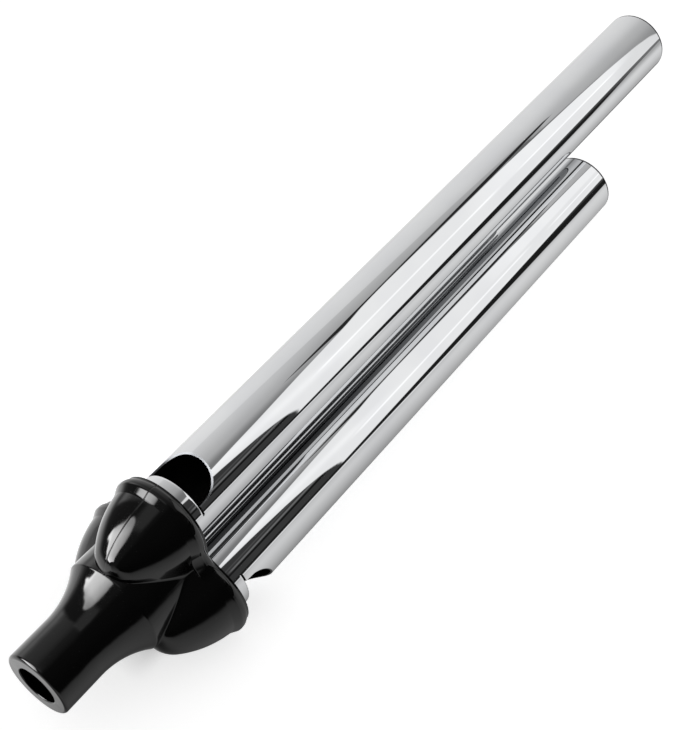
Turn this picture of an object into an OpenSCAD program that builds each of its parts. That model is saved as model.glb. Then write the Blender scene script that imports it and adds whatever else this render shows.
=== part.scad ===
// Train whistle: three stopped chrome tubes of different lengths in one moulded black mouthpiece.
// It lies along +X, from the tip that is blown to the tubes' closed ends, with the longest tube on top.
// The origin is the middle of the air inlet, on the tip's face. All lengths are in millimetres.

/* [Tubes] */
// Outside diameter of each tube
tube_d = 19; // [17:0.5:20]
// Thickness of the tubes' wall
tube_wall = 0.4; // [0.3:0.05:0.8]
// Distance from the whistle's axis to each tube's axis
pitch_r = 12.4; // [12:0.1:12.4]
// Speaking length of the longest tube, from its window's sill to its closed end
long_length = 216.6; // [180:0.1:240]
// Speaking length of the middle tube
middle_length = 169.5; // [140:0.1:200]
// Speaking length of the shortest tube
short_length = 138; // [110:0.1:170]

/* [Windows] */
// Height of each window's sill over the collar
sill_height = 3.8; // [3:0.1:6]
// Height of the window along the tube, from the sill to the top of its lip
window_height = 9.2; // [8:0.1:11]
// Depth of the window below the tube's outermost line
window_depth = 4; // [3:0.1:5]
// Radius of the cutter that rounds the lip
lip_r = 9.6; // [8.5:0.1:14]
// Depth of the saw cut that makes the sill
saw_depth = 6; // [5.2:0.1:7]
// Width of the saw cut
saw_width = 0.4; // [0.3:0.05:0.8]

/* [Mouthpiece] */
// Outside diameter of the stem
stem_d = 17.9; // [16:0.1:19]
// Length of the stem's straight part
stem_length = 11.7; // [8:0.1:12]
// Diameter of the air inlet
bore_d = 10.6; // [8:0.1:12]
// Rounding of the tip's outer edge
tip_round = 0.8; // [0.4:0.1:1.5]
// Whole length of the moulding, from the tip to the collar's top
moulding_length = 45.5; // [45.5:0.1:52]
// Radius of the hollow curve from the stem to the core
flare_r = 21.9; // [18:0.1:26]
// Radius of the round core that joins the three lobes
core_r = 13.4; // [13.4:0.1:14]
// Rounding of the core's shoulder
shoulder_round = 0.8; // [0.5:0.1:1.6]
// Largest radius of each lobe, at the collar's top
lobe_r = 12.4; // [12.4:0.1:12.6]
// Length of a lobe, from its nose to the collar's top
lobe_length = 20.4; // [20.4:0.1:20.8]
// Radius of the lobe's round nose
nose_r = 7.9; // [6:0.1:9]
// Thickness of the lobes' wall
lobe_wall = 2; // [2:0.1:2.4]

/* [Collar] */
// Radius of the collar round each tube
collar_r = 13; // [12.8:0.1:13.6]
// Radius of the collar between the tubes
waist_r = 16.2; // [15.2:0.1:16.6]
// Height of the collar
collar_height = 4.9; // [4.4:0.1:7]
// Rounding of the collar's upper edge
collar_round = 2.2; // [0.8:0.1:2.4]
// Height of the bevel under the collar
bevel_height = 2; // [1:0.1:2.2]
// Depth of the bevel, from the collar's widest part
bevel_depth = 0.8; // [0.6:0.1:1]
// Depth of the sockets that hold the tubes
socket_depth = 8.5; // [7:0.1:9]

/* [Air way] */
// Thickness left between the inlet's end and the sockets' floor
inlet_roof = 1; // [0.5:0.1:3]
// Height of the slit between plug and tube, at its middle
windway_height = 1.4; // [0.8:0.1:2]
// Height of the slanted way into the slit
lead_in_height = 6; // [4:0.5:8]
// Depth of the slanted way at the plug's foot
lead_in_depth = 3.2; // [2:0.1:4.5]
// Distance from a tube's foot to its plug's foot
plug_inset = 0.5; // [0.3:0.1:2]

/* [End caps] */
// Thickness of a cap's disc
cap_disc = 0.8; // [0.6:0.1:1.5]
// Rounding of the disc's outer edge
cap_round = 0.5; // [0.2:0.05:0.6]
// Length of the skirt that is pressed into the tube
skirt_length = 5; // [3:0.5:8]
// Thickness of the skirt
skirt_wall = 0.6; // [0.4:0.1:1]

/* [Fits] */
// Gap round a tube in its socket
socket_gap = 0.04; // [0.02:0.01:0.1]
// Gap round a plug or a cap's skirt in its tube
bore_gap = 0.02; // [0.01:0.01:0.05]

/* [Hidden] */
$fn = 96;

// Cuts run past the solids by this much
overrun = 1;

// Turn of each tube's place round the axis, from the top
long_turn = 0;
middle_turn = 120;
short_turn = 240;

tube_r = tube_d / 2;
tube_bore_r = tube_r - tube_wall;
stem_r = stem_d / 2;
bore_r = bore_d / 2;

// Heights along the whistle's axis, from the tip
collar_foot = moulding_length - collar_height;
socket_floor = moulding_length - socket_depth;
sill = moulding_length + sill_height;
lobe_nose = moulding_length - lobe_length;
nose_z = lobe_nose + nose_r;

// A lobe's flank is an arc whose middle lies beyond the lobe's axis, and which the nose's arc touches
flank_r = (pow(moulding_length - nose_z, 2) + pow(lobe_r, 2) - pow(nose_r, 2)) / (2 * (lobe_r - nose_r));
flank_x = lobe_r - flank_r;
nose_rise_share = (moulding_length - nose_z) / (flank_r - nose_r);

// The flare's arc touches the stem where its straight part ends
flare_x = stem_r + flare_r;

// Middle of the shoulder's rounding, which touches the flare and the core's side
shoulder_x = core_r - shoulder_round;
shoulder_z = stem_length + sqrt(pow(flare_r + shoulder_round, 2) - pow(flare_x - shoulder_x, 2));

// Point where the flare's arc goes over into the shoulder
flare_share = flare_r / (flare_r + shoulder_round);
flare_end = [flare_x + (shoulder_x - flare_x) * flare_share,
             stem_length + (shoulder_z - stem_length) * flare_share];

// Place of the lip's cutter: how far out, and how high over the sill
cutter_x = tube_r - window_depth + lip_r;
cutter_rise = window_height - sqrt(pow(lip_r, 2) - pow(lip_r - window_depth, 2));

// Lays a piece drawn upright along +X, with its +X side on top
module lying() {
    rotate([0, 90, 0]) rotate([0, 0, 180]) children();
}

// Puts a piece on a tube's axis, its +X side facing out from the whistle
module at_tube(turn) {
    rotate([0, 0, turn]) translate([pitch_r, 0, 0]) children();
}

module at_every_tube() {
    for (turn = [long_turn, middle_turn, short_turn]) at_tube(turn) children();
}

// Half the outline of a collar, bevelled below and rounded above
module collar_outline(r) {
    upper_z = moulding_length - collar_round;
    polygon([
        [0, collar_foot],
        [r - bevel_depth, collar_foot],
        [r, collar_foot + bevel_height],
        [r, upper_z],
        [0, upper_z]]);
    translate([0, upper_z]) square([r - collar_round, collar_round]);
    translate([r - collar_round, upper_z]) circle(collar_round);
}

// Outline of the stem, the flare and the core
module core_outline() {
    difference() {
        translate([stem_r, stem_length]) square([core_r - stem_r, moulding_length - collar_round - stem_length]);
        translate([flare_x, stem_length]) circle(flare_r, $fn = 4 * $fn);
        polygon([flare_end,
                 [core_r + overrun, flare_end[1]],
                 [core_r + overrun, shoulder_z],
                 [core_r, shoulder_z],
                 [shoulder_x, shoulder_z]]);
    }
    translate([shoulder_x, shoulder_z]) circle(shoulder_round);
    translate([0, tip_round]) square([stem_r, moulding_length - collar_round - tip_round]);
    square([stem_r - tip_round, tip_round]);
    translate([stem_r - tip_round, tip_round]) circle(tip_round);
}

// Outline of a lobe, thinner by inset all over, up to a height: a round nose, then a longer arc
module lobe_outline(inset, top) {
    joint_z = nose_z - (nose_r - inset) * nose_rise_share;
    intersection() {
        translate([0, nose_z]) circle(nose_r - inset, $fn = 2 * $fn);
        translate([0, lobe_nose]) square([lobe_r, joint_z - lobe_nose]);
    }
    intersection() {
        translate([flank_x, moulding_length]) circle(flank_r - inset, $fn = 4 * $fn);
        translate([0, joint_z]) square([lobe_r, top - joint_z]);
    }
}

// An arm from the whistle's axis to a tube's, straight at its sides and round at its outer end
module arm(reach) {
    translate([pitch_r, 0, 0]) intersection() {
        rotate_extrude() children();
        translate([0, -reach, 0]) cube([reach, 2 * reach, moulding_length]);
    }
    rotate([90, 0, 90]) linear_extrude(height = pitch_r) {
        children();
        mirror([1, 0]) children();
    }
}

module moulding_body() {
    rotate_extrude() core_outline();
    rotate_extrude() collar_outline(waist_r);
    for (turn = [long_turn, middle_turn, short_turn]) rotate([0, 0, turn]) {
        arm(lobe_r) lobe_outline(0, moulding_length - collar_round);
        arm(collar_r) collar_outline(collar_r);
    }
}

module air_way() {
    translate([0, 0, -overrun]) cylinder(h = socket_floor - inlet_roof + overrun, r = bore_r);
    at_every_tube() rotate_extrude() lobe_outline(lobe_wall, socket_floor + overrun);
}

module sockets() {
    at_every_tube() translate([0, 0, socket_floor])
        cylinder(h = socket_depth + overrun, r = tube_r + socket_gap);
}

module mouthpiece() {
    color("#141414") lying() difference() {
        moulding_body();
        air_way();
        sockets();
    }
}

// What the saw and the lip's cutter take out of a tube, sill at height zero
module window_cut() {
    intersection() {
        translate([cutter_x, tube_r + overrun, cutter_rise]) rotate([90, 0, 0])
            cylinder(h = tube_d + 2 * overrun, r = lip_r);
        translate([0, -tube_r - overrun, 0])
            cube([tube_r + overrun, tube_d + 2 * overrun, window_height + overrun]);
    }
    translate([tube_r - saw_depth, -tube_r - overrun, 0])
        cube([saw_depth + overrun, tube_d + 2 * overrun, saw_width]);
}

module tube(turn, speaking_length) {
    color("#d9dbdd") lying() at_tube(turn) difference() {
        translate([0, 0, socket_floor])
            cylinder(h = sill + speaking_length - cap_disc - socket_floor, r = tube_r);
        translate([0, 0, socket_floor - overrun])
            cylinder(h = sill + speaking_length - cap_disc - socket_floor + 2 * overrun, r = tube_bore_r);
        translate([0, 0, sill]) window_cut();
    }
}

module tube_long() {
    tube(long_turn, long_length);
}

module tube_middle() {
    tube(middle_turn, middle_length);
}

module tube_short() {
    tube(short_turn, short_length);
}

// Block inside a tube's foot that leaves a slit for the air under the window's sill
module plug(turn) {
    foot = socket_floor + plug_inset;
    plug_r = tube_bore_r - bore_gap;
    flat_x = tube_bore_r - windway_height;
    color("#1b1b1b") lying() at_tube(turn) difference() {
        translate([0, 0, foot]) cylinder(h = sill - foot, r = plug_r);
        translate([0, plug_r + overrun, foot]) rotate([90, 0, 0])
            linear_extrude(height = 2 * (plug_r + overrun)) polygon([
                [flat_x - lead_in_depth, -overrun],
                [flat_x - lead_in_depth, 0],
                [flat_x, lead_in_height],
                [flat_x, sill - foot + overrun],
                [plug_r + overrun, sill - foot + overrun],
                [plug_r + overrun, -overrun]]);
    }
}

module plug_long() {
    plug(long_turn);
}

module plug_middle() {
    plug(middle_turn);
}

module plug_short() {
    plug(short_turn);
}

// Stopper of a tube's far end: a disc on the tube's rim and a skirt pressed inside
module cap(turn, speaking_length) {
    skirt_r = tube_bore_r - bore_gap;
    disc_foot = sill + speaking_length - cap_disc;
    color("#cfd1d3") lying() at_tube(turn) translate([0, 0, disc_foot]) {
        rotate_extrude() {
            square([tube_r - cap_round, cap_disc]);
            square([tube_r, cap_disc - cap_round]);
            translate([tube_r - cap_round, cap_disc - cap_round]) circle(cap_round);
        }
        translate([0, 0, -skirt_length]) difference() {
            cylinder(h = skirt_length, r = skirt_r);
            translate([0, 0, -overrun]) cylinder(h = skirt_length + overrun, r = skirt_r - skirt_wall);
        }
    }
}

module cap_long() {
    cap(long_turn, long_length);
}

module cap_middle() {
    cap(middle_turn, middle_length);
}

module cap_short() {
    cap(short_turn, short_length);
}

mouthpiece();
tube_long();
tube_middle();
tube_short();
plug_long();
plug_middle();
plug_short();
cap_long();
cap_middle();
cap_short();
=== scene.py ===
import math

import bpy
import numpy as np
from mathutils import Matrix, Vector, geometry


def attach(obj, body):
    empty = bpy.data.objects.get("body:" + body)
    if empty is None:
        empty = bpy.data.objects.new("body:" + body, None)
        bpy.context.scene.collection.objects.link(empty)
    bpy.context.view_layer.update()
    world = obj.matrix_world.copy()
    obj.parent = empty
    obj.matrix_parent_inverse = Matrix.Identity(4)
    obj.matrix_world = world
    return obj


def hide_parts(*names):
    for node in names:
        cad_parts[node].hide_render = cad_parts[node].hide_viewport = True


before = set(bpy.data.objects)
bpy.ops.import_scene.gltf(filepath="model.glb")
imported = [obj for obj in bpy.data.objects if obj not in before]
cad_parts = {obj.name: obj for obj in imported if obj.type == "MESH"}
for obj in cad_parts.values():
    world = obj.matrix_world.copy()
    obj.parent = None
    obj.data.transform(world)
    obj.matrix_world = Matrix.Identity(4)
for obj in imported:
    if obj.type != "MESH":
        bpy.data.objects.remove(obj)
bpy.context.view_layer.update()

# Sizes in millimetres, on the whistle stood upright on its tip, with the longest tube at +X.
TUBE_R = 9.5
TUBE_WALL = 0.4
PITCH_R = 12.4
SPEAKING = {"long": 216.6, "middle": 169.5, "short": 138.0}
TURN = {"long": 0.0, "middle": 120.0, "short": 240.0}
SILL = 49.3
WINDOW_HEIGHT = 9.2
WINDOW_DEPTH = 4.0
LIP_R = 9.6
SAW_DEPTH = 6.0
SAW_WIDTH = 0.4
SILL_ROUND = 0.9
STEM_R = 8.95
STEM_LENGTH = 11.7
BORE_R = 5.3
BORE_DEPTH = 36.0
TIP_ROUND = 0.8
TOP = 45.5
FLARE_R = 21.9
CORE_R = 13.4
SHOULDER_ROUND = 0.8
LOBE_R = 12.3
NOSE_R = 7.9
LOBE_NOSE = 25.1
COLLAR_R = 13.0
WAIST_R = 16.2
COLLAR_FOOT = 40.6
BEVEL_TOP = 42.6
COLLAR_ROUND = 2.2
SOCKET_FLOOR = 37.0
SOCKET_R = 9.54
CAP_DISC = 0.8
CAP_ROUND = 0.5
SKIRT_LENGTH = 5.0
SKIRT_WALL = 0.6
BORE_GAP = 0.02
SKIRT_R = TUBE_R - TUBE_WALL - BORE_GAP

# Band of painted shade on a cap's rounded edge, a dark line at its joint to the tube: outside this radius,
# and from this far below the top
CAP_SHADE_R = TUBE_R - 0.3
CAP_SHADE_DROP = 0.08

# Widths of the blends where the mouthpiece's forms meet, and how steep the collar's underside is
LOBE_BLEND = 0.5
COLLAR_BLEND = 0.16
COLLAR_ARM_BLEND = 1.2
COLLAR_UNDERCUT = 12

# The mould's parting line, on top of the longest tube's lobe: a fine groove
PARTING = math.radians(-1.5)
GROOVE_DEPTH = 0.07
GROOVE_WIDTH = 0.13

# The air inlet's mouth: its rounded edge, and two nubs of flash
BORE_ROUND = 0.3
NUBS = (math.radians(-7), math.radians(-171))
NUB_HEIGHT = 0.38
NUB_WIDTH = 0.24

# Columns of points round a socket and round a cap
SOCKET_COLUMNS = 96
CAP_COLUMNS = 192


def lying(points):
    """Upright millimetres to the row frame's metres."""
    p = np.asarray(points, float)
    return np.stack([p[:, 2], -p[:, 1], p[:, 0]], 1) * 0.001


def turned(points, degrees, out=PITCH_R):
    """Moves points out by a tube's distance from the whistle's axis and turns them to its place."""
    a = math.radians(degrees)
    x, y = points[:, 0] + out, points[:, 1]
    return np.stack([x * math.cos(a) - y * math.sin(a), x * math.sin(a) + y * math.cos(a), points[:, 2]], 1)


def placed(name, data):
    """An object of a mesh or a camera, in the scene."""
    obj = bpy.data.objects.new(name, data)
    bpy.context.scene.collection.objects.link(obj)
    return obj


def piece(name, points, faces, corner_normals, materials, face_slots=None):
    """A closed mesh with its own normal at every corner of every face."""
    mesh = bpy.data.meshes.new(name)
    mesh.from_pydata(lying(points).tolist(), [], faces)
    mesh.polygons.foreach_set("use_smooth", [True] * len(faces))
    for m in materials:
        mesh.materials.append(m)
    if face_slots is not None:
        mesh.polygons.foreach_set("material_index", face_slots)
    n = np.asarray(corner_normals, float)
    n = np.stack([n[:, 2], -n[:, 1], n[:, 0]], 1)
    n /= np.maximum(np.linalg.norm(n, axis=1, keepdims=True), 1e-12)
    mesh.normals_split_custom_set(n.tolist())
    mesh.update()
    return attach(placed(name, mesh), "root")


def grid_faces(rows, columns, start=0, closed=True):
    """Quads between rows of points, outward where the rows climb and the columns run anticlockwise."""
    faces = []
    last = columns if closed else columns - 1
    for i in range(rows - 1):
        a = start + i * columns
        for j in range(last):
            k = (j + 1) % columns
            faces.append((a + j, a + k, a + columns + k, a + columns + j))
    return faces


def smooth_max(a, b, width):
    """The larger of two values, rounded where they lie closer than the width."""
    return np.maximum(a, b) + np.maximum(width - np.abs(a - b), 0) ** 2 / (4 * width)


def smooth_min(a, b, width):
    """The smaller of two values, rounded in the same way."""
    return -smooth_max(-a, -b, width)


# Mouthpiece

FLARE_X = STEM_R + FLARE_R
SHOULDER_X = CORE_R - SHOULDER_ROUND
SHOULDER_Z = STEM_LENGTH + math.sqrt((FLARE_R + SHOULDER_ROUND) ** 2 - (FLARE_X - SHOULDER_X) ** 2)
FLARE_END = STEM_LENGTH + (SHOULDER_Z - STEM_LENGTH) * FLARE_R / (FLARE_R + SHOULDER_ROUND)
NOSE_Z = LOBE_NOSE + NOSE_R
FLANK_R = ((TOP - NOSE_Z) ** 2 + LOBE_R**2 - NOSE_R**2) / (2 * (LOBE_R - NOSE_R))
JOINT_Z = NOSE_Z - NOSE_R * (TOP - NOSE_Z) / (FLANK_R - NOSE_R)
ROUND_FOOT = TOP - COLLAR_ROUND


def bell(v, middle, width):
    """1 at the middle, fading to 0 on both sides."""
    return np.exp(-(((v - middle) / width) ** 2))


def arc(radius, height):
    """Half the chord of a circle at a height over its centre, and 0 past the circle."""
    return np.sqrt(np.maximum(radius**2 - height**2, 0))


def core_radius(z):
    """Stem, flare, shoulder and core."""
    tip = STEM_R - TIP_ROUND + arc(TIP_ROUND, np.minimum(z - TIP_ROUND, 0))
    flare = FLARE_X - arc(FLARE_R, z - STEM_LENGTH)
    shoulder = SHOULDER_X + arc(SHOULDER_ROUND, np.minimum(z - SHOULDER_Z, 0))
    r = np.where(z < STEM_LENGTH, tip, flare)
    return np.where(z < FLARE_END, r, shoulder)


def lobe_width(z):
    """Half the width of a lobe: a round nose, then a flank that swells up to the collar."""
    nose = arc(NOSE_R, z - NOSE_Z)
    flank = LOBE_R - FLANK_R + arc(FLANK_R, z - TOP)
    w = np.where(z < JOINT_Z, nose, flank)
    return np.where(z > LOBE_NOSE, w, 0)


def collar_width(z):
    """Half the width of a collar's arm: steep underside, bevel, straight band and round upper edge."""
    foot_w = LOBE_R - FLANK_R + arc(FLANK_R, COLLAR_FOOT - TOP)
    bevel = foot_w + (COLLAR_R - foot_w) * (z - COLLAR_FOOT) / (BEVEL_TOP - COLLAR_FOOT)
    bevel = np.where(z < COLLAR_FOOT, foot_w - COLLAR_UNDERCUT * (COLLAR_FOOT - z), bevel)
    band = COLLAR_R - COLLAR_ROUND + arc(COLLAR_ROUND, np.maximum(z - ROUND_FOOT, 0))
    return smooth_min(bevel, band, COLLAR_BLEND)


def arm_reach(angle, w):
    """How far an arm of half width w reaches from the whistle's axis, at an angle from its own direction."""
    c, s = np.cos(angle), np.abs(np.sin(angle))
    w = np.maximum(w, 0)
    end = PITCH_R * c + np.sqrt(np.maximum(w**2 - (PITCH_R * s) ** 2, 0))
    side = w / np.maximum(s, 1e-9)
    return np.where((c > 0) & (w > 0), np.where(w * c >= PITCH_R * s, end, side), 0)


def outer_radius(azimuth, z):
    """Radius of the moulding's skin at each azimuth and height, with the parting line's fine groove."""
    lobes = np.zeros(np.broadcast(azimuth, z).shape)
    collar = collar_width(z) + WAIST_R - COLLAR_R + 0 * azimuth
    for turn in TURN.values():
        a = azimuth - math.radians(turn)
        lobes = smooth_max(lobes, arm_reach(a, lobe_width(z)), LOBE_BLEND)
        collar = smooth_max(collar, arm_reach(a, collar_width(z)), COLLAR_ARM_BLEND)
    r = smooth_max(core_radius(z) + 0 * azimuth, lobes, LOBE_BLEND)
    r = smooth_max(r, collar, COLLAR_BLEND)

    # The groove starts just under the lobes' noses
    off = r * np.abs((azimuth - PARTING + math.pi / 2) % math.pi - math.pi / 2)
    depth = GROOVE_DEPTH * np.clip((z - LOBE_NOSE + 0.6) / 1.2, 0, 1)
    return r - depth * bell(off, 0, GROOVE_WIDTH)


def skin_point(azimuth, z):
    """Points on the moulding's skin."""
    r = outer_radius(azimuth, z)
    return np.stack([r * np.cos(azimuth), r * np.sin(azimuth), z + 0 * r], -1)


def spaced(low, high, step):
    """Even values from low to high, no further apart than the step."""
    return np.linspace(low, high, max(2, int(math.ceil((high - low) / step)) + 1))


def mouthpiece(material):
    """The moulding: its skin, the tip's face and the bore, and the top face with its three sockets."""
    # Columns all round, closer at the parting line, and rows that are closer where the skin bends
    near = np.radians([0, 0.12, 0.25, 0.4, 0.6, 0.9])
    partings = np.array([PARTING + s * n + t for t in (0, math.pi) for s in (-1, 1) for n in near])
    azimuth = np.concatenate([np.radians(np.arange(0, 360, 0.75)), partings % (2 * math.pi)])
    azimuth = np.unique(np.round(azimuth, 7))
    tip = TIP_ROUND * (1 - np.cos(np.linspace(0, math.pi / 2, 9)))[1:]
    nose = NOSE_Z - NOSE_R * np.cos(np.radians(np.arange(0, 62, 2)))
    crown = ROUND_FOOT + COLLAR_ROUND * np.sin(np.linspace(0, math.pi / 2, 15))
    z = np.concatenate([
        tip,
        spaced(TIP_ROUND, STEM_LENGTH, 0.8),
        spaced(STEM_LENGTH, 20, 0.4),
        spaced(20, LOBE_NOSE, 0.12),
        LOBE_NOSE + np.array([0.003, 0.03]),
        nose[nose > LOBE_NOSE],
        spaced(nose[-1], SOCKET_FLOOR, 0.3),
        spaced(SOCKET_FLOOR, COLLAR_FOOT - 0.5, 0.2),
        COLLAR_FOOT + np.array([-0.4, -0.3, -0.2, -0.13, -0.08, -0.04, 0, 0.04, 0.08, 0.13, 0.2, 0.3]),
        spaced(COLLAR_FOOT + 0.4, BEVEL_TOP - 0.3, 0.2),
        BEVEL_TOP + np.linspace(-0.25, 0.25, 9),
        spaced(BEVEL_TOP + 0.3, ROUND_FOOT, 0.2),
        crown,
    ])
    z = np.unique(np.round(z, 5))
    z[-1] = TOP
    a, h = np.meshgrid(azimuth, z)
    skin = skin_point(a, h)

    # Normals from close neighbours, which lie lower at the top edge and nearer just below it
    lift = np.where(h > TOP - 0.001, -0.0015, 0.0015) * np.where(h > TOP - 0.02, 0.3, 1)
    turn = 0.0004
    around = skin_point(a + turn, h) - skin_point(a - turn, h)
    along = (skin_point(a, h + lift) - skin) / lift[..., None]
    normal = np.cross(around, along)
    normal /= np.linalg.norm(normal, axis=-1, keepdims=True)
    normal[-1] = (0, 0, 1)
    columns = len(azimuth)

    # From the tip's face into the bore, ring by ring: radius, height, and its normal's two parts
    rings = [(STEM_R - TIP_ROUND, 0.0, 0, -1)]
    for t in np.linspace(0, math.pi / 2, 5):
        out, up = 1 - math.sin(t), 1 - math.cos(t)
        rings.append((BORE_R + BORE_ROUND * out, BORE_ROUND * up, -math.sin(t), -math.cos(t)))
    rings += [(BORE_R, d, -1, 0) for d in (1, 2, 4, 7, 10, 18, 27, BORE_DEPTH)]
    bore_end = [(BORE_R, BORE_DEPTH, 0, -1), (0.001, BORE_DEPTH, 0, -1)]
    points, normals, faces, corners = [], [], [], []

    def add_rings(group):
        """Joins a group of rings by faces; the nubs of flash stand on those at the bore's mouth."""
        base = sum(len(p) for p in points)
        for r, d, nr, nz in group:
            around = [np.abs((azimuth - a + math.pi) % (2 * math.pi) - math.pi) * r for a in NUBS]
            share = np.interp(d, [0.1, 0.3, 2, 6], [0, 1, 0.7, 0])
            q = r - NUB_HEIGHT * share * (r > 1) * sum(bell(o, 0, NUB_WIDTH) for o in around)
            points.append(np.stack([q * np.cos(azimuth), q * np.sin(azimuth), np.full(columns, d)], 1))
            normals.append(np.stack([nr * np.cos(azimuth), nr * np.sin(azimuth), np.full(columns, nz)], 1))
        for f in grid_faces(len(group), columns, base):
            faces.append(f[::-1])

    points.append(skin.reshape(-1, 3))
    normals.append(normal.reshape(-1, 3))
    faces += grid_faces(len(z), columns)
    add_rings(rings)
    add_rings(bore_end)
    tip_row = len(points[0])
    faces += [(tip_row + j, tip_row + (j + 1) % columns, (j + 1) % columns, j) for j in range(columns)]

    # The top face, as triangles outside the three sockets
    count = sum(len(p) for p in points)
    rim = points[0][-columns:, :2]
    turns = np.linspace(0, 2 * math.pi, SOCKET_COLUMNS, endpoint=False)
    ring = np.stack([np.cos(turns), np.sin(turns), 0 * turns], 1)
    holes = [turned(ring * SOCKET_R, t)[:, :2] for t in TURN.values()]
    flat = np.concatenate([rim] + holes)
    starts = [columns + k * SOCKET_COLUMNS for k in range(len(holes))]
    loops = [list(range(columns))] + [list(range(k, k + SOCKET_COLUMNS)) for k in starts]
    made = geometry.delaunay_2d_cdt([Vector(p) for p in flat], [], loops, 1, 1e-6)
    flat, triangles = np.array([tuple(v) for v in made[0]]), made[2]
    hubs = np.array([turned(np.zeros((1, 3)), t)[0, :2] for t in TURN.values()])
    for t in triangles:
        middle = flat[list(t)].mean(0)
        if np.min(np.linalg.norm(hubs - middle, axis=1)) > SOCKET_R * 0.999:
            faces.append(tuple(count + i for i in t))
    points.append(np.column_stack([flat, np.full(len(flat), TOP)]))
    normals.append(np.tile((0.0, 0.0, 1.0), (len(flat), 1)))

    # The sockets' walls and floors
    for t in TURN.values():
        base = sum(len(p) for p in points)
        for d in (TOP, SOCKET_FLOOR):
            points.append(turned(ring * SOCKET_R + (0, 0, d), t))
            normals.append(turned(-ring, t, 0))
        faces += [f[::-1] for f in grid_faces(2, SOCKET_COLUMNS, base)]
        base += 2 * SOCKET_COLUMNS
        points.append(turned(ring * SOCKET_R + (0, 0, SOCKET_FLOOR), t))
        normals.append(np.tile((0.0, 0.0, 1.0), (SOCKET_COLUMNS, 1)))
        faces.append(tuple(range(base, base + SOCKET_COLUMNS)))

    points, normals = np.concatenate(points), np.concatenate(normals)
    corners = np.concatenate([normals[list(f)] for f in faces])
    return piece("mouthpiece_skin", points, faces, corners, [material])


# Tubes and caps

WINDOW_FLAT = TUBE_R - WINDOW_DEPTH
SAW_FLAT = TUBE_R - SAW_DEPTH
CUTTER_X = WINDOW_FLAT + LIP_R
CUTTER_RISE = WINDOW_HEIGHT - math.sqrt(LIP_R**2 - (LIP_R - WINDOW_DEPTH) ** 2)


def window_top(radius, angle):
    """Height of the cut over the sill on a wall of this radius, at an angle from the window's middle."""
    x = radius * np.cos(angle)
    lip = CUTTER_RISE + np.sqrt(np.maximum(LIP_R**2 - (CUTTER_X - x) ** 2, 0))
    return np.where(x > WINDOW_FLAT, lip, np.where(x > SAW_FLAT, SAW_WIDTH, 0))


# The sill's outer edge, buffed round: each bend is the angle that the wall has turned by there
SILL_BENDS = np.radians([0, 7, 14, 21, 28, 35])

# How far over the sill the rows of points follow the window's lip
LIP_REACH = 14.0


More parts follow.
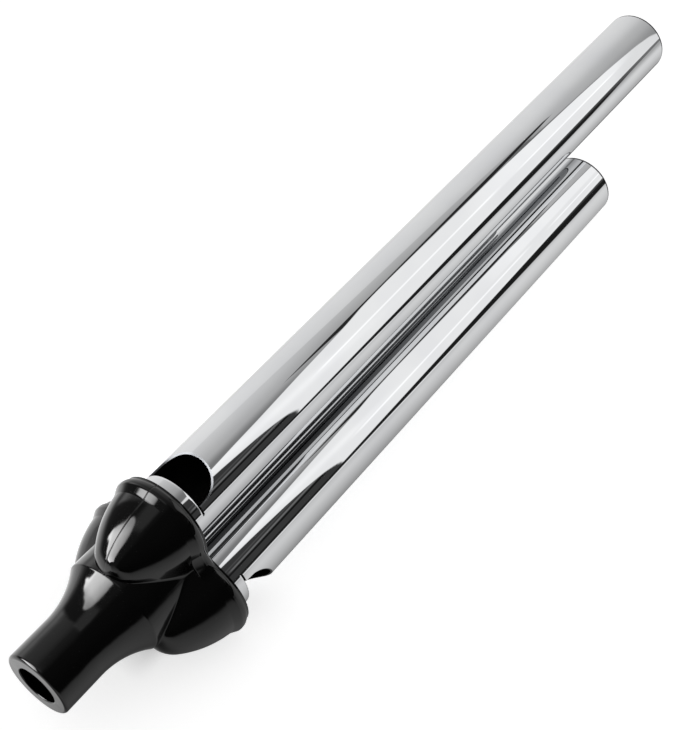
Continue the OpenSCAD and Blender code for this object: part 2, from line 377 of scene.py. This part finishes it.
def tube(which, plated, inside, rim):
    """A tube with its window: columns of points that meet the cut's corners, joined row by row."""
    end = SILL + SPEAKING[which] - CAP_DISC
    outer, inner = TUBE_R, TUBE_R - TUBE_WALL

    # Columns from the window's middle round both ways, with a close pair at each corner of the cut
    corner = [math.acos(d / outer) for d in (WINDOW_FLAT, SAW_FLAT)]
    corner_in = [math.acos(d / inner) for d in (WINDOW_FLAT, SAW_FLAT)]
    half = np.concatenate([
        np.linspace(0, corner[0], 48), [corner[0] + 0.004], np.linspace(corner[0] + 0.02, corner[1], 8),
        [corner[1] + 0.004], np.linspace(corner[1] + 0.02, math.pi, 60)])
    angle = np.concatenate([half, -half[1:-1][::-1]])
    known = [0, corner[0], corner[1], math.pi]
    known_in = [0, corner_in[0], corner_in[1], math.pi]
    angle_in = np.sign(angle) * np.interp(np.abs(angle), known, known_in)
    columns = len(angle)
    points, normals, faces, slots = [], [], [], []

    def wall(radius, a, heights, sign, slot, bends=None):
        """One skin of the wall, as rows of points at heights; bends turn the last rows over its edge."""
        base = sum(len(p) for p in points)
        bends = [0 * a] * (len(heights) - len(bends or [])) + (bends or [])
        for h, bend in zip(heights, bends):
            r = radius - SILL_ROUND * (1 - np.cos(bend))
            points.append(np.stack([r * np.cos(a), r * np.sin(a), h + 0 * a], 1))
            out = np.cos(bend)
            normals.append(sign * np.stack([out * np.cos(a), out * np.sin(a), np.sin(bend)], 1))
        made = grid_faces(len(heights), columns, base)
        faces.extend(f if sign > 0 else f[::-1] for f in made)
        slots.extend([slot] * len(made))
        return base, base + (len(heights) - 1) * columns

    def strip(low, high, flip, slot, keep=None):
        """Flat faces of a cut edge, between a row of one skin and a row of the other."""
        for j in range(columns):
            k = (j + 1) % columns
            if keep is not None and not (keep[j] and keep[k]):
                continue
            quad = [low + j, low + k, high + k, high + j]
            if flip:
                quad.reverse()
            p = [all_points[i] for i in quad]
            n = np.cross(p[2] - p[0], p[3] - p[1])
            faces.append(tuple(quad))
            flat_faces[len(faces) - 1] = n
            slots.append(slot)

    # The foot up to the sill and the tube's body over the window, outside and inside, then the cut edges
    top_out, top_in = window_top(outer, angle), window_top(inner, angle_in)
    shares = (0, 0.15, 0.4, 0.7, 1)
    zeros = np.zeros(columns)
    over = [SILL + top_out + s * (LIP_REACH - top_out) for s in shares]
    over_in = [SILL + top_in + s * (LIP_REACH - top_in) for s in shares]
    lengths = np.linspace(SILL + LIP_REACH, end, 12)[1:]
    cut = np.abs(angle) <= corner[1] + 1e-6
    bends = [t * cut for t in SILL_BENDS]
    buffed = [SILL - SILL_ROUND * (math.sin(SILL_BENDS[-1]) - math.sin(t)) + zeros for t in SILL_BENDS]
    foot_out = wall(outer, angle, [SOCKET_FLOOR + zeros, TOP + zeros] + buffed, 1, 0, bends)
    body_out = wall(outer, angle, over + [h + zeros for h in lengths], 1, 0)
    foot_in = wall(inner, angle_in, [SOCKET_FLOOR + zeros, SILL + zeros], -1, 1)
    body_in = wall(inner, angle_in, over_in + [h + zeros for h in lengths], -1, 1)
    all_points = np.concatenate(points)
    flat_faces = {}
    strip(foot_out[1], foot_in[1], False, 2, cut)
    strip(body_in[0], body_out[0], False, 2, np.abs(angle) <= corner[1] + 0.005)
    strip(foot_out[0], foot_in[0], True, 0)
    strip(body_out[1], body_in[1], False, 0)

    # The wall behind the window, between the foot and the tube's body
    for low, high, flip, slot in ((foot_out[1], body_out[0], False, 0), (foot_in[1], body_in[0], True, 1)):
        for j in range(columns):
            k = (j + 1) % columns
            if cut[j] and cut[k]:
                continue
            quad = [low + j, low + k, high + k, high + j]
            heights = [all_points[i][2] for i in quad]
            if heights[3] - heights[0] + heights[2] - heights[1] < 1e-6:
                continue
            if flip:
                quad.reverse()
            faces.append(tuple(quad))
            slots.append(slot)
    normals = np.concatenate(normals)
    corners = []
    for i, f in enumerate(faces):
        corners.append(np.tile(flat_faces[i], (len(f), 1)) if i in flat_faces else normals[list(f)])
    corners = turned(np.concatenate(corners), TURN[which], 0)
    return piece("tube_" + which + "_plated", turned(all_points, TURN[which]), faces, corners,
                 [plated, inside, rim], slots)


def cap(which, plated, edge_shade):
    """A pressed disc with a rounded edge over its joint to the tube, and the skirt inside the tube; a band of
    painted shade lies on that edge.
    """
    foot = SILL + SPEAKING[which] - CAP_DISC
    top = foot + CAP_DISC
    skirt_foot = foot - SKIRT_LENGTH
    skirt_in = SKIRT_R - SKIRT_WALL
    edge_r, edge_z = TUBE_R - CAP_ROUND, top - CAP_ROUND

    # The profile as radius, height and its normal's two parts; None parts two faces at a sharp edge
    rows = [(skirt_in, skirt_foot, 0, -1), (SKIRT_R, skirt_foot, 0, -1), None,
            (SKIRT_R, skirt_foot, 1, 0), (SKIRT_R, foot, 1, 0), None,
            (SKIRT_R, foot, 0, -1), (TUBE_R, foot, 0, -1), None, (TUBE_R, foot, 1, 0)]
    for t in np.linspace(0, math.pi / 2, 9):
        c, s = math.cos(t), math.sin(t)
        rows.append((edge_r + CAP_ROUND * c, edge_z + CAP_ROUND * s, c, s))
    rows += [(6.0, top, 0, 1), (3.0, top, 0, 1), (0.001, top, 0, 1), None,
             (0.001, foot, 0, -1), (skirt_in, foot, 0, -1), None,
             (skirt_in, foot, -1, 0), (skirt_in, skirt_foot, -1, 0)]
    turns = np.linspace(0, 2 * math.pi, CAP_COLUMNS, endpoint=False)
    points, normals, faces, slots = [], [], [], []
    previous = False
    for row in rows:
        if row is None:
            previous = False
            continue
        r, z, nr, nz = row
        base = len(points) * CAP_COLUMNS
        points.append(np.stack([r * np.cos(turns), r * np.sin(turns), np.full(CAP_COLUMNS, z)], 1))
        normals.append(np.stack([nr * np.cos(turns), nr * np.sin(turns), np.full(CAP_COLUMNS, nz)], 1))
        if previous:
            faces += grid_faces(2, CAP_COLUMNS, base - CAP_COLUMNS)
            # Faces on the outer rounded edge, below its top, take the painted shade
            slots += [int(r > CAP_SHADE_R and z < top - CAP_SHADE_DROP)] * CAP_COLUMNS
        previous = True
    points, normals = np.concatenate(points), np.concatenate(normals)
    corners = np.concatenate([normals[list(f)] for f in faces])
    corners = turned(corners, TURN[which], 0)
    return piece("cap_" + which + "_plated", turned(points, TURN[which]), faces, corners,
                 [plated, edge_shade], slots)


# Finishes


def colour(code):
    """An sRGB hex colour as linear red, green, blue and alpha."""
    out = []
    for i in (1, 3, 5):
        c = int(code[i:i + 2], 16) / 255
        out.append(c / 12.92 if c <= 0.04045 else ((c + 0.055) / 1.055) ** 2.4)
    return (*out, 1.0)


def add(tree, kind, settings=None, links=None):
    """Adds a node; settings are its properties or its inputs' values, links are input: (node, output)."""
    node = tree.nodes.new(kind)
    for key, value in (settings or {}).items():
        if isinstance(key, int) or key in node.inputs:
            node.inputs[key].default_value = value
        else:
            setattr(node, key, value)
    for key, (source, output) in (links or {}).items():
        tree.links.new(source.outputs[output], node.inputs[key])
    return node


def material(name):
    """A material and its empty node tree."""
    m = bpy.data.materials.new(name)
    m.use_nodes = True
    m.node_tree.nodes.clear()
    return m, m.node_tree


def object_noise(tree, size_mm, detail=3.0):
    """Cloudy pattern in the object's own frame, whose patches are about so many millimetres across."""
    place = add(tree, "ShaderNodeTexCoord")
    return add(tree, "ShaderNodeTexNoise", {"Scale": 1000.0 / size_mm, "Detail": detail},
               {"Vector": (place, "Object")})


def spread(tree, pattern, low, high):
    """Maps a pattern's middle range to values between low and high."""
    levels = {"From Min": 0.35, "From Max": 0.65, "To Min": low, "To Max": high}
    return add(tree, "ShaderNodeMapRange", levels, {"Value": (pattern, "Fac")})


def tinted(tree, pattern, dark, light):
    """Colour between two tones, by a pattern."""
    share = spread(tree, pattern, 0.0, 1.0)
    return add(tree, "ShaderNodeMix", {"data_type": "RGBA", 6: colour(dark), 7: colour(light)},
               {0: (share, "Result")})


def surface(tree, tone, settings, links=None):
    """Ends a material in a Principled shader of that tone."""
    links = {"Base Color": (tone, 2), **(links or {})}
    shader = add(tree, "ShaderNodeBsdfPrincipled", settings, links)
    add(tree, "ShaderNodeOutputMaterial", {}, {"Surface": (shader, "BSDF")})


def chrome_plate():
    """Chrome plating on drawn brass tube, buffed to a mirror: hard bands, with a trace of soft haze."""
    m, t = material("chrome_plated_brass_tube")
    haze = spread(t, object_noise(t, 9), 0.02, 0.045)
    tone = tinted(t, object_noise(t, 14), "#eff0f2", "#f3f4f5")
    surface(t, tone, {"Metallic": 1.0}, {"Roughness": (haze, "Result")})
    return m


def cut_edge():
    """Sawn rim of the window under the plating, filed smooth: a fine satin line that outlines the opening."""
    m, t = material("plated_brass_window_rim")
    tone = tinted(t, object_noise(t, 4), "#505153", "#5b5c5e")
    surface(t, tone, {"Metallic": 1.0, "Roughness": 0.32})
    return m


def cap_edge_painted_shade():
    """Painted shade round the cap's edge where it meets the tube: a fine dull dark line at the tube's end."""
    m, t = material("painted_shade_cap_edge")
    tone = tinted(t, object_noise(t, 3), "#3c3c3e", "#56575a")
    surface(t, tone, {"Metallic": 1.0, "Roughness": 0.22})
    return m


def bore_painted_shade():
    """Unplated bore of the tube, dull and painted near black as shade, so it stays dark through the window.
    """
    m, t = material("bore_painted_dark_shade")
    tone = tinted(t, object_noise(t, 5), "#080706", "#15120f")
    surface(t, tone, {"Metallic": 0.0, "Roughness": 0.7})
    return m


def black_abs():
    """Black ABS from a polished mould: deep black with a clear gloss that shrinkage makes a little uneven."""
    m, t = material("polished_black_abs")
    gloss = spread(t, object_noise(t, 6), 0.06, 0.1)
    tone = tinted(t, object_noise(t, 11), "#030303", "#050505")
    waves = object_noise(t, 3.2, 1.5)
    sink = add(t, "ShaderNodeBump", {"Strength": 0.7, "Distance": 0.00005}, {"Height": (waves, "Fac")})
    surface(t, tone, {"IOR": 1.53}, {"Roughness": (gloss, "Result"), "Normal": (sink, "Normal")})
    return m


def matt_plug():
    """Matt black plastic of the plugs, as it comes from the lathe, with fine turning marks."""
    m, t = material("matt_black_plug_plastic")
    place = add(t, "ShaderNodeTexCoord")
    marks = add(t, "ShaderNodeTexWave", {"bands_direction": "X", "Scale": 700.0, "Distortion": 0.6},
                {"Vector": (place, "Object")})
    tone = tinted(t, marks, "#0b0b0b", "#121212")
    surface(t, tone, {"Roughness": 0.6})
    return m


plated, rim, edge_shade, bore = chrome_plate(), cut_edge(), cap_edge_painted_shade(), bore_painted_shade()
abs_black, plug_black = black_abs(), matt_plug()

body = mouthpiece(abs_black)
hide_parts("mouthpiece")
for which in TURN:
    # The tube's bore carries painted shade
    made = tube(which, plated, bore, rim)
    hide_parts("tube_" + which)
    # Each cap's edge band carries painted shade
    made = cap(which, plated, edge_shade)
    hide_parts("cap_" + which)
    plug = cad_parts["plug_" + which]
    plug.data.materials.clear()
    plug.data.materials.append(plug_black)

# Studio: a near wrap of cards and a far wrap of lamps that only the reflections see, and a lit floor.
# Places on a wrap are an angle in degrees from +Z towards -Y, and a length in millimetres along +X.

NEAR_R = 70.0
FAR_R = 300.0

# Soft box above the tubes
PANEL = [
    (21.5, 80), (19, 90), (17.3, 100), (14.6, 110), (12, 120), (10.2, 130), (8.3, 140), (6.3, 145),
    (3.9, 149.5), (2.8, 156), (2.5, 163), (3.2, 172), (4, 182), (5.1, 192), (6, 202), (6.6, 212),
    (7.2, 222), (8.6, 231), (10.5, 240), (12.2, 250), (14.3, 260), (16.5, 270), (19.3, 280),
    (22.6, 290), (27.3, 300), (32.5, 310), (41, 320), (50, 326), (60, 333), (69, 340), (69.3, 325),
    (70.2, 305), (71.8, 285), (73.2, 262), (74.2, 240), (75.3, 215), (76.3, 192), (77.2, 170),
    (77.7, 150), (78.2, 130), (78.5, 117.5), (75, 117.3), (70, 116.3), (66, 114.8), (60, 112),
    (56, 109), (52, 105.5), (48, 101), (45, 97), (41, 90), (37, 83), (30, 66), (26, 66),
]

# Black flag between the soft box and the floor
DARK_GAP = [
    (78.3, 60), (78.5, 117.5), (78.2, 130), (77.7, 150), (77.2, 170), (76.3, 192), (75.3, 215),
    (74.2, 240), (73.2, 262), (71.8, 285), (70.2, 305), (69.3, 325), (72, 345), (77, 335), (81, 312),
    (86, 300), (89.5, 288), (91.5, 272), (92.3, 255), (92, 235), (90.8, 215), (89.6, 200), (88.6, 180),
    (87.6, 165), (86.8, 150), (85.6, 138), (84.8, 120), (84, 100), (84, 60),
]

# Thin dark frame on the soft box's other side, and its paler end
SLIVER = [
    (-3.2, 252), (-3.7, 240), (-3.3, 225), (-2.6, 205), (-1.8, 185), (-1.2, 165), (-0.9, 145),
    (-0.6, 128), (0.3, 114), (1.8, 119), (4.4, 131), (7.2, 139.5), (7.6, 142), (5.8, 145), (3.4, 149.5),
    (2.3, 156), (2, 163), (2.4, 172), (3, 182), (3.6, 192), (4.4, 202), (5.2, 212), (5.4, 222),
    (4.6, 231), (2.4, 240), (1.2, 250), (-0.5, 257),
]
SLIVER_TOP = [
    (2.5, 238), (6.5, 229), (8.6, 231), (10.5, 240), (12.2, 250), (14.3, 260), (16.5, 270), (19.5, 280),
    (22, 288), (19, 284), (15.3, 272), (12.5, 262), (9.5, 252), (7, 243), (4, 243),
]

# Grey reflector left of the soft box
WEDGE = [
    (-44, 60), (-40, 95), (-35, 118), (-29, 142), (-23, 170), (-16, 203), (-7.5, 231), (-3.5, 243),
    (0, 250), (12, 250), (16, 180), (24, 60),
]

# Dark tray at the soft box's near end, with a paler and a blacker streak
TRAY = [
    (37, 83), (41, 90), (45, 97), (48, 101), (52, 105.5), (56, 109), (60, 112), (66, 114.8),
    (70, 116.3), (75, 117.3), (79, 117.5), (79, 50), (29, 50), (30, 66),
]
TRAY_STREAK = [
    (54, 120), (58, 120), (58.5, 70), (54.5, 70),
]
TRAY_BLACK = [
    (60, 120), (64.5, 120), (64.5, 60), (59.5, 60),
]

# Bright window that the black moulding mirrors; its places are an angle and a slope along the whistle
WINDOW = [
    (-70.5, -0.39), (-62, -0.325), (-50, -0.29), (-40, -0.265), (-34, -0.23), (-30, -0.185),
    (-26, -0.165), (-21, -0.185), (-15, -0.26), (-11, -0.37), (-9, -0.5), (-9, -0.7), (-12, -1.0),
    (-16, -1.6), (-22, -2.6), (-66, -2.6), (-69, -1.6), (-63.5, -1.05), (-61, -0.75), (-61, -0.6),
    (-63, -0.49), (-67, -0.455),
]

# Strip lamps that draw a fine line along the tubes
STREAKS = [
    [(42.8, 262), (47.2, 262), (47.2, 412), (42.8, 412)],
    [(46.4, 440), (50.2, 440), (50.2, 535), (46.4, 535)],
]

# Light levels round a wrap, as angles and the levels there
LEFT_CARDS = (
    [-180, -165, -150, -120, -75, -45, -35, -20, -10, 0, 10, 20, 30, 45, 60],
    [0.24, 0.36, 0.55, 0.72, 0.745, 0.71, 0.69, 0.62, 0.54, 0.48, 0.46, 0.39, 0.33, 0.28, 0.25],
)
FLOOR_FAR = (
    [84, 94, 100, 107, 115, 125, 135, 150, 165, 180],
    [0.4, 0.6, 0.69, 0.71, 0.68, 0.63, 0.57, 0.48, 0.44, 0.34],
)
FLOOR_NEAR = (
    [84, 90, 94, 100, 107, 115, 125, 135, 150, 165, 180],
    [0.4, 0.6, 0.62, 0.65, 0.62, 0.56, 0.49, 0.42, 0.33, 0.27, 0.24],
)
MOUTH_LEFT = (
    [-180, -168, -150, -125, -90, -84, -78, -72, -60, -10, 10, 20, 40, 70, 84],
    [0.15, 0.4, 1.0, 1.35, 1.2, 0.7, 0.3, 0.13, 0.12, 0.13, 0.12, 0.05, 0.04, 0.02, 0.02],
)
MOUTH_RIGHT = (
    [84, 88, 93, 98, 112, 125, 140, 150, 160, 170, 180],
    [0.02, 0.06, 0.38, 0.5, 0.58, 0.56, 0.44, 0.32, 0.2, 0.14, 0.15],
)
WINDOW_LIGHT = (
    [-75, -66, -59, -55, -40, -34, -28, -20, -14, -9],
    [15, 17, 15.5, 12.3, 11.3, 10.3, 8.7, 7.3, 5.2, 2.5],
)
END_CARD = (
    [-92, -86, -80, -73, -66, -57, -41, -30, -24, -14, -8, 0, 10],
    [0, 0.3, 0.85, 0.95, 0.6, 0.38, 0.36, 0.32, 0.3, 0.18, 0.08, 0.05, 0],
)


def inside(angle, x, outline, blur, radius=NEAR_R):
    """1 inside an outline on a wrap and 0 outside it, with an edge blurred over so many millimetres."""
    px, py = angle * radius * math.pi / 180, x
    corners = [(a * radius * math.pi / 180, b) for a, b in outline]
    near = np.full(px.shape, 1e9)
    within = np.zeros(px.shape, bool)
    for (ax, ay), (bx, by) in zip(corners, corners[1:] + corners[:1]):
        ex, ey = bx - ax, by - ay
        s = np.clip(((px - ax) * ex + (py - ay) * ey) / (ex * ex + ey * ey), 0, 1)
        near = np.minimum(near, np.hypot(px - ax - s * ex, py - ay - s * ey))
        if by != ay:
            within ^= ((py >= ay) != (py >= by)) & (px < ax + (py - ay) * ex / ey)
    share = np.clip(0.5 + np.where(within, near, -near) / blur, 0, 1)
    return share * share * (3 - 2 * share)


def ramp(v, low, high):
    """0 below the low value, 1 above the high one, and smooth between them."""
    s = np.clip((v - low) / (high - low), 0, 1)
    return s * s * (3 - 2 * s)


def over(light, level, share):
    """Lays a share of another level over the light."""
    return light * (1 - share) + level * share


def near_light(angle, x):
    """Light that each place of the near wrap sends out."""
    # Plain card on both sides, darker towards the floor under the whistle
    left = sum(np.interp(angle + d, *LEFT_CARDS) for d in (-6, -3, 0, 3, 6)) / 5
    left = left + 0.05 * ramp(-x, -130, -95) * ramp(-angle, 30, 50)
    right = over(np.interp(angle, *FLOOR_NEAR), np.interp(angle, *FLOOR_FAR), ramp(x, 90, 245))
    light = np.where(angle > 75, right, left)
    light = np.where((angle > 20) & (angle <= 84) & (x < 100), 0.05, light)

    # The grey reflector, and the fall of light to the soft box's frame
    light = light * (1 - inside(angle, x, WEDGE, 3) * (0.1 + 0.12 * ramp(x, 95, 150)))
    light = over(light, 0.2, ramp(angle, -2, 17) * ramp(-x, -150, -110) * (angle < 30))
    light = over(light, 0.02, inside(angle, x, SLIVER, 1.2))
    light = over(light, 0.1, inside(angle, x, SLIVER_TOP, 2.5) * 0.85)

    # The soft box: brighter along two of its edges and at its far end, then fading
    box = 0.89 + 0.09 * ramp(x, 195, 228) * ramp(-angle, -46, -39) * ramp(-x, -310, -295)
    box = box + 0.1 * bell(angle, 26 + (x - 90) * 0.38, 9) * ramp(-x, -175, -120)
    box = box + 0.06 * bell(angle, np.interp(x, [100, 200, 290], [76, 73.5, 68.5]), 1.6) * ramp(x, 185, 215)
    box = box - 0.09 * ramp(x, 292, 312)
    light = over(light, box, inside(angle, x, PANEL, 1.8))

    # The black flag beside it and the dark tray below it
    gap = 0.012 + 0.05 * ramp(-angle, -81, -76) * ramp(x, 225, 262) + 0.12 * ramp(x, 292, 330)
    light = over(light, gap, inside(angle, x, DARK_GAP, 2.2))
    tray = 0.04 - 0.025 * ramp(angle, 77, 80)
    tray = over(tray, 0.15, inside(angle, x, TRAY_STREAK, 1.5))
    tray = over(tray, 0.1, 0.7 * bell(angle, 48.5, 1.3))
    tray = over(tray, 0.008, inside(angle, x, TRAY_BLACK, 1.5))
    light = over(light, tray, inside(angle, x, TRAY, 1.5))

    # The floor's bright edge beside them
    edge = np.interp(x, [100, 138, 165, 200, 235], [84, 85.6, 87.6, 89.6, 92])
    light = light + 0.4 * bell(angle, edge + 1.4, 1.3) * ramp(-x, -220, -150)

    # What the black moulding sees, before the tubes
    mouth = np.where(angle > 84, np.interp(angle, *MOUTH_RIGHT), np.interp(angle, *MOUTH_LEFT))
    light = over(light, mouth, ramp(-x, -76, -50))

    # The floor straight under the tubes, and the grey room past their far ends
    light = over(light, 0.2, ramp(np.abs(angle), 168, 175) * ramp(x, 40, 70))
    return over(light, 0.5, ramp(x, 347, 380))


def far_light(angle, x):
    """Light that each place of the far wrap sends out: window, two cards past its end and strip lamps."""
    slope = (x - 20) / FAR_R
    window = np.interp(angle, *WINDOW_LIGHT) * (0.6 + 0.4 * ramp(-slope, 0.24, 0.5))
    light = window * inside(angle, x, [(a, 20 + FAR_R * s) for a, s in WINDOW], 14, FAR_R)
    light = light + np.interp(angle, *END_CARD) * ramp(slope, 0.07, 0.15) * ramp(-slope, -0.46, -0.38)
    beside = ramp(angle, -24, -10) * ramp(-angle, -14, -6)
    light = light + 0.33 * beside * ramp(slope, -0.45, -0.3) * ramp(-slope, -0.2, -0.1)
    for outline in STREAKS:
        light = light + 0.22 * inside(angle, x, outline, 16, FAR_R)
    return light


def painted(mesh, name, levels):
    """Stores a grey level at each point of a mesh, for its material to read."""
    rgba = np.ones((levels.size, 4), np.float32)
    rgba[:, :3] = levels.reshape(-1, 1)
    mesh.attributes.new(name, "FLOAT_COLOR", "POINT").data.foreach_set("color", rgba.ravel())


def glow(name, clear, second, deep):
    """Light as stored on a wrap; a clear one adds it to what lies beyond.

    Reflections in a reflection see a share of that light. All later ones see an even level that rises along
    the tubes to the one given: the slit between two tubes would turn to noise otherwise.
    """
    m, t = material(name)
    m.cycles.emission_sampling = "NONE"
    seen = add(t, "ShaderNodeAttribute", {"attribute_name": "glow"})
    path = add(t, "ShaderNodeLightPath")
    late = add(t, "ShaderNodeMath", {"operation": "GREATER_THAN", 1: 2.5}, {0: (path, "Glossy Depth")})
    place = add(t, "ShaderNodeNewGeometry")
    place = add(t, "ShaderNodeSeparateXYZ", {}, {"Vector": (place, "Position")})
    levels = {"From Min": 0.13, "From Max": 0.21, "To Min": deep * 0.2, "To Max": deep}
    even = add(t, "ShaderNodeMapRange", levels, {"Value": (place, "X")})
    tone = add(t, "ShaderNodeMix", {"data_type": "RGBA"},
               {0: (late, "Value"), 6: (seen, "Color"), 7: (even, "Result")})
    power = add(t, "ShaderNodeMapRange", {"From Min": 1.0, "From Max": 2.0, "To Min": 1.0, "To Max": second},
                {"Value": (path, "Glossy Depth")})
    lit = add(t, "ShaderNodeEmission", {}, {"Color": (tone, 2), "Strength": (power, "Result")})
    if clear:
        gap = add(t, "ShaderNodeBsdfTransparent")
        both = add(t, "ShaderNodeAddShader", {}, {0: (gap, "BSDF"), 1: (lit, "Emission")})
        add(t, "ShaderNodeOutputMaterial", {}, {"Surface": (both, "Shader")})
    else:
        add(t, "ShaderNodeOutputMaterial", {}, {"Surface": (lit, "Emission")})
    return m


def wrap(name, radius, angle, x, light, clear, second, deep):
    """A closed wrap of light round the whistle's axis, which only reflections see."""
    a, h = np.meshgrid(angle, x)
    turn = np.radians(a)
    points = np.stack([h, -radius * np.sin(turn), radius * np.cos(turn)], -1).reshape(-1, 3) * 0.001
    rows, columns = a.shape
    faces = grid_faces(rows, columns)
    for row in (0, rows - 1):
        faces.append(tuple(range(row * columns, (row + 1) * columns)))
    mesh = bpy.data.meshes.new(name)
    mesh.from_pydata(points.tolist(), [], faces)
    painted(mesh, "glow", light(a, h))
    mesh.materials.append(glow(name, clear, second, deep))
    obj = placed(name, mesh)
    obj.visible_camera = obj.visible_diffuse = obj.visible_shadow = obj.visible_volume_scatter = False


near_angle = np.concatenate([
    np.arange(-180, -50, 3.0), np.arange(-50, -8, 1.0), np.arange(-8, 24, 0.5),
    np.arange(24, 60, 1.0), np.arange(60, 100, 0.5), np.arange(100, 180, 3.0)])
near_x = np.concatenate([
    np.arange(-260, -60, 10.0), np.arange(-60, 60, 2.0), np.arange(60, 350, 1.0), np.arange(350, 481, 10.0)])
wrap("near_cards", NEAR_R, near_angle, near_x, near_light, True, 0.82, 0.24)
wrap("far_lamps", FAR_R, np.arange(-180, 180, 1.0), np.arange(-1200, 1201, 6.0), far_light, False, 0.06, 0.0)


def floor():
    """White card floor, dark only under the tubes with a painted shadow, so that the gap below them stays
    black.

    It slopes from the collar's two lower lobes to the middle tube's far end, which the whistle rests on.
    """
    front_x = 0.0431
    front, back = Vector((front_x, 0, -0.0192)), Vector((0.2188, 0, -0.0157))
    along = (back - front).normalized()
    edges = [-2.5, -0.3, -0.1] + list(np.arange(-0.02, 0.0201, 0.001)) + [0.1, 0.3, 2.5]
    places = [-2.5, -0.1] + list(np.arange(0.0, 0.261, 0.01)) + [0.5, 2.5]
    points = [tuple(front + along * (s - front_x) + Vector((0, 1, 0)) * e) for s in places for e in edges]
    mesh = bpy.data.meshes.new("white_card_floor")
    mesh.from_pydata(points, [], grid_faces(len(places), len(edges), closed=False))
    s, e = np.meshgrid(places, edges, indexing="ij")
    # Painted shadow: the floor's colour is darkened in a strip under the tubes
    under = ramp(-np.abs(e - 0.0025), -0.0125, -0.007) * ramp(s, 0.02, 0.045) * ramp(-s, -0.225, -0.205)
    painted(mesh, "shade", 1 - 0.96 * under)
    m, t = material("white_card")
    seen = add(t, "ShaderNodeAttribute", {"attribute_name": "shade"})
    card = add(t, "ShaderNodeBsdfDiffuse", {}, {"Color": (seen, "Color")})
    lit = add(t, "ShaderNodeEmission", {"Strength": 0.64}, {"Color": (seen, "Color")})
    both = add(t, "ShaderNodeAddShader", {}, {0: (card, "BSDF"), 1: (lit, "Emission")})
    path = add(t, "ShaderNodeLightPath")
    mixed = add(t, "ShaderNodeMixShader", {},
                {"Fac": (path, "Is Camera Ray"), 1: (card, "BSDF"), 2: (both, "Shader")})
    add(t, "ShaderNodeOutputMaterial", {}, {"Surface": (mixed, "Shader")})
    mesh.materials.append(m)
    obj = placed("white_card_floor", mesh)
    obj.visible_glossy = False


floor()

# White world: white to the camera and the reflections, softer where it lights the whistle
world = bpy.data.worlds.new("white_studio")
bpy.context.scene.world = world
world.use_nodes = True
w = world.node_tree
w.nodes.clear()
path = add(w, "ShaderNodeLightPath")
seen = add(w, "ShaderNodeMath", {"operation": "MAXIMUM"},
           {0: (path, "Is Camera Ray"), 1: (path, "Is Glossy Ray")})
seen = add(w, "ShaderNodeMath", {"operation": "MAXIMUM"},
           {0: (seen, "Value"), 1: (path, "Is Transmission Ray")})
white = add(w, "ShaderNodeBackground", {"Color": (1, 1, 1, 1), "Strength": 1.0})
soft = add(w, "ShaderNodeBackground", {"Color": (1, 1, 1, 1), "Strength": 0.45})
mixed = add(w, "ShaderNodeMixShader", {},
            {"Fac": (seen, "Value"), 1: (soft, "Background"), 2: (white, "Background")})
add(w, "ShaderNodeOutputWorld", {}, {"Surface": (mixed, "Shader")})

# Camera: place and turn from the photograph's own perspective
eye = Vector((-0.07779605, -0.14990617, 0.28453909))
right = Vector((0.59999282, -0.79971931, -0.02139264))
up = Vector((0.61462792, 0.44368043, 0.65221177))
view = Vector((0.51209485, 0.40447089, -0.75773489))
camera_data = bpy.data.cameras.new("camera")
camera_data.lens = 70.2447
camera_data.sensor_width = 36.0
camera_data.clip_start, camera_data.clip_end = 0.01, 20
camera = placed("camera", camera_data)
turn = Matrix((right, up, -view)).transposed()
camera.matrix_world = Matrix.Translation(eye) @ turn.to_4x4()
bpy.context.scene.camera = camera

bpy.context.scene.view_settings.view_transform = "Standard"
